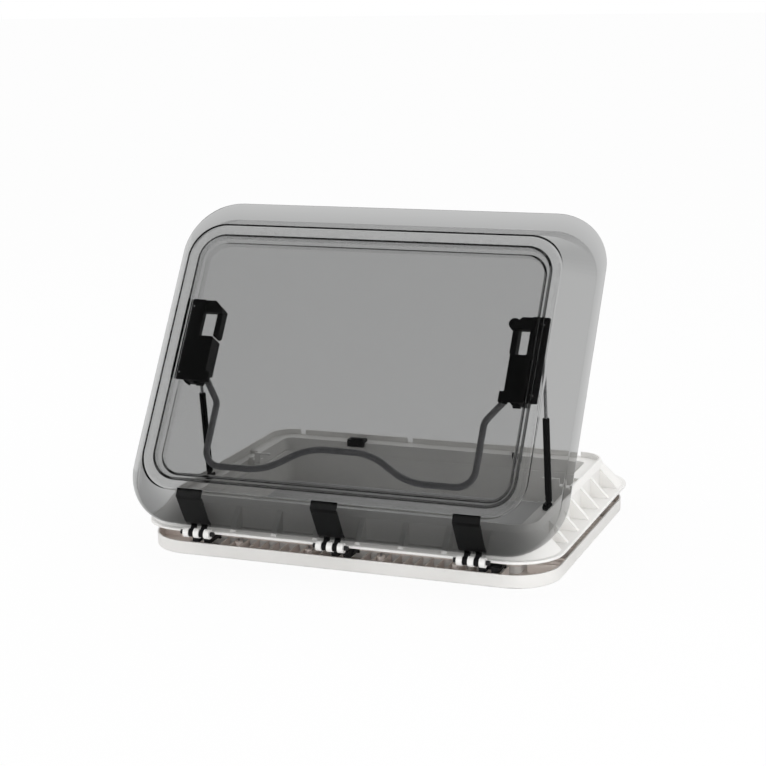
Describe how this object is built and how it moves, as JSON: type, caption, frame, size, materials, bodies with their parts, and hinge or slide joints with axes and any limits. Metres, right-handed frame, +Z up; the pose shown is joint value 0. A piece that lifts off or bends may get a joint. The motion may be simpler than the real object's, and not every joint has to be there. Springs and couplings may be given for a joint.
{
  "type": "caravan roof window",
  "caption": "Hinged double-glazed roof window with a tinted lid, a bow handle that works two sliding hooks, gas struts, a pocketed outer frame and a ribbed ceiling frame",
  "frame": {"origin": "centre of the ceiling frame, on its underside", "axes": "+Z up out of the roof, +X along the hinge line, the hinge side at -Y; the lid rests open as in the picture"},
  "size_m": [0.834, 0.6523, 0.6033],
  "materials": {
    "white_plastic": "fine moulded grain",
    "tinted_acrylic": "smooth, see-through grey tint",
    "light_acrylic": "smooth, see-through, a lighter grey tint",
    "clear_rubber": "soft and milky clear",
    "black_plastic": "fine moulded grain",
    "grey_plastic": "satin",
    "black_metal": "satin black paint",
    "steel": "ground"
  },
  "bodies": {
    "frame": {"outer_frame": "white_plastic", "outer_neck": "white_plastic", "ceiling_frame": "white_plastic", "ceiling_collar": "white_plastic", "roof_clamps": "black_plastic", "clamp_screws": "steel", "frame_screws": "steel", "hinge_pins": "black_plastic", "rear_catch": "black_plastic", "rear_guides": "black_plastic", "latch_keeper_left": "white_plastic", "latch_keeper_right": "white_plastic", "strut_foot_left": "black_metal", "strut_foot_right": "black_metal"},
    "lid": {"hinge_arm_left": "black_plastic", "hinge_arm_middle": "black_plastic", "hinge_arm_right": "black_plastic", "lid_outer_pane": "tinted_acrylic", "lid_inner_pane": "light_acrylic", "lid_seal": "clear_rubber", "latch_base_left": "black_plastic", "latch_base_right": "black_plastic", "latch_housing_left": "black_plastic", "latch_housing_right": "black_plastic", "latch_screws_left": "steel", "latch_screws_right": "steel", "strut_lug_left": "black_plastic", "strut_lug_right": "black_plastic"},
    "bow": {"bow_handle": "grey_plastic", "bow_pinion_left": "black_plastic", "bow_pinion_right": "black_plastic"},
    "hook_left": {"latch_hook_left": "black_plastic"},
    "hook_right": {"latch_hook_right": "black_plastic", "latch_button": "black_plastic"},
    "strut_tube_left": {"strut_cylinder_left": "black_metal"},
    "strut_tube_right": {"strut_cylinder_right": "black_metal"},
    "strut_piston_left": {"strut_rod_left": "steel"},
    "strut_piston_right": {"strut_rod_right": "steel"}
  },
  "joints": [
    {"name": "lid_hinge", "type": "hinge", "parent": "frame", "child": "lid", "pos_m": [0, -0.313, 0.052], "axis": [1, 0, 0], "range_deg": [-57, 0]},
    {"name": "bow_swing", "type": "hinge", "parent": "lid", "child": "bow", "pos_m": [0, -0.19548, 0.31193], "axis": [1, 0, 0], "range_deg": [0, 60]},
    {"name": "hook_slide_left", "type": "slide", "parent": "lid", "child": "hook_left", "axis": [0, 0.5446, 0.8387], "range_m": [0, 0.0106]},
    {"name": "strut_swing_left", "type": "hinge", "parent": "frame", "child": "strut_tube_left", "pos_m": [-0.336, -0.104, 0.096], "axis": [1, 0, 0], "range_deg": [-96, 0]},
    {"name": "strut_slide_left", "type": "slide", "parent": "strut_tube_left", "child": "strut_piston_left", "axis": [0, -0.1078, 0.9942], "range_m": [-0.1295, 0]},
    {"name": "hook_slide_right", "type": "slide", "parent": "lid", "child": "hook_right", "axis": [0, 0.5446, 0.8387], "range_m": [0, 0.0106]},
    {"name": "strut_swing_right", "type": "hinge", "parent": "frame", "child": "strut_tube_right", "pos_m": [0.336, -0.104, 0.096], "axis": [1, 0, 0], "range_deg": [-96, 0]},
    {"name": "strut_slide_right", "type": "slide", "parent": "strut_tube_right", "child": "strut_piston_right", "axis": [0, -0.1078, 0.9942], "range_m": [-0.1295, 0]}
  ],
  "couplings": [
    {"joint": "hook_slide_left", "follows": "bow_swing", "m_per_rad": 0.01},
    {"joint": "strut_swing_left", "follows": "lid_hinge", "ratio": 1.6712},
    {"joint": "strut_slide_left", "follows": "lid_hinge", "m_per_rad": 0.12951},
    {"joint": "hook_slide_right", "follows": "bow_swing", "m_per_rad": 0.01},
    {"joint": "strut_swing_right", "follows": "lid_hinge", "ratio": 1.6712},
    {"joint": "strut_slide_right", "follows": "lid_hinge", "m_per_rad": 0.12951}
  ]
}
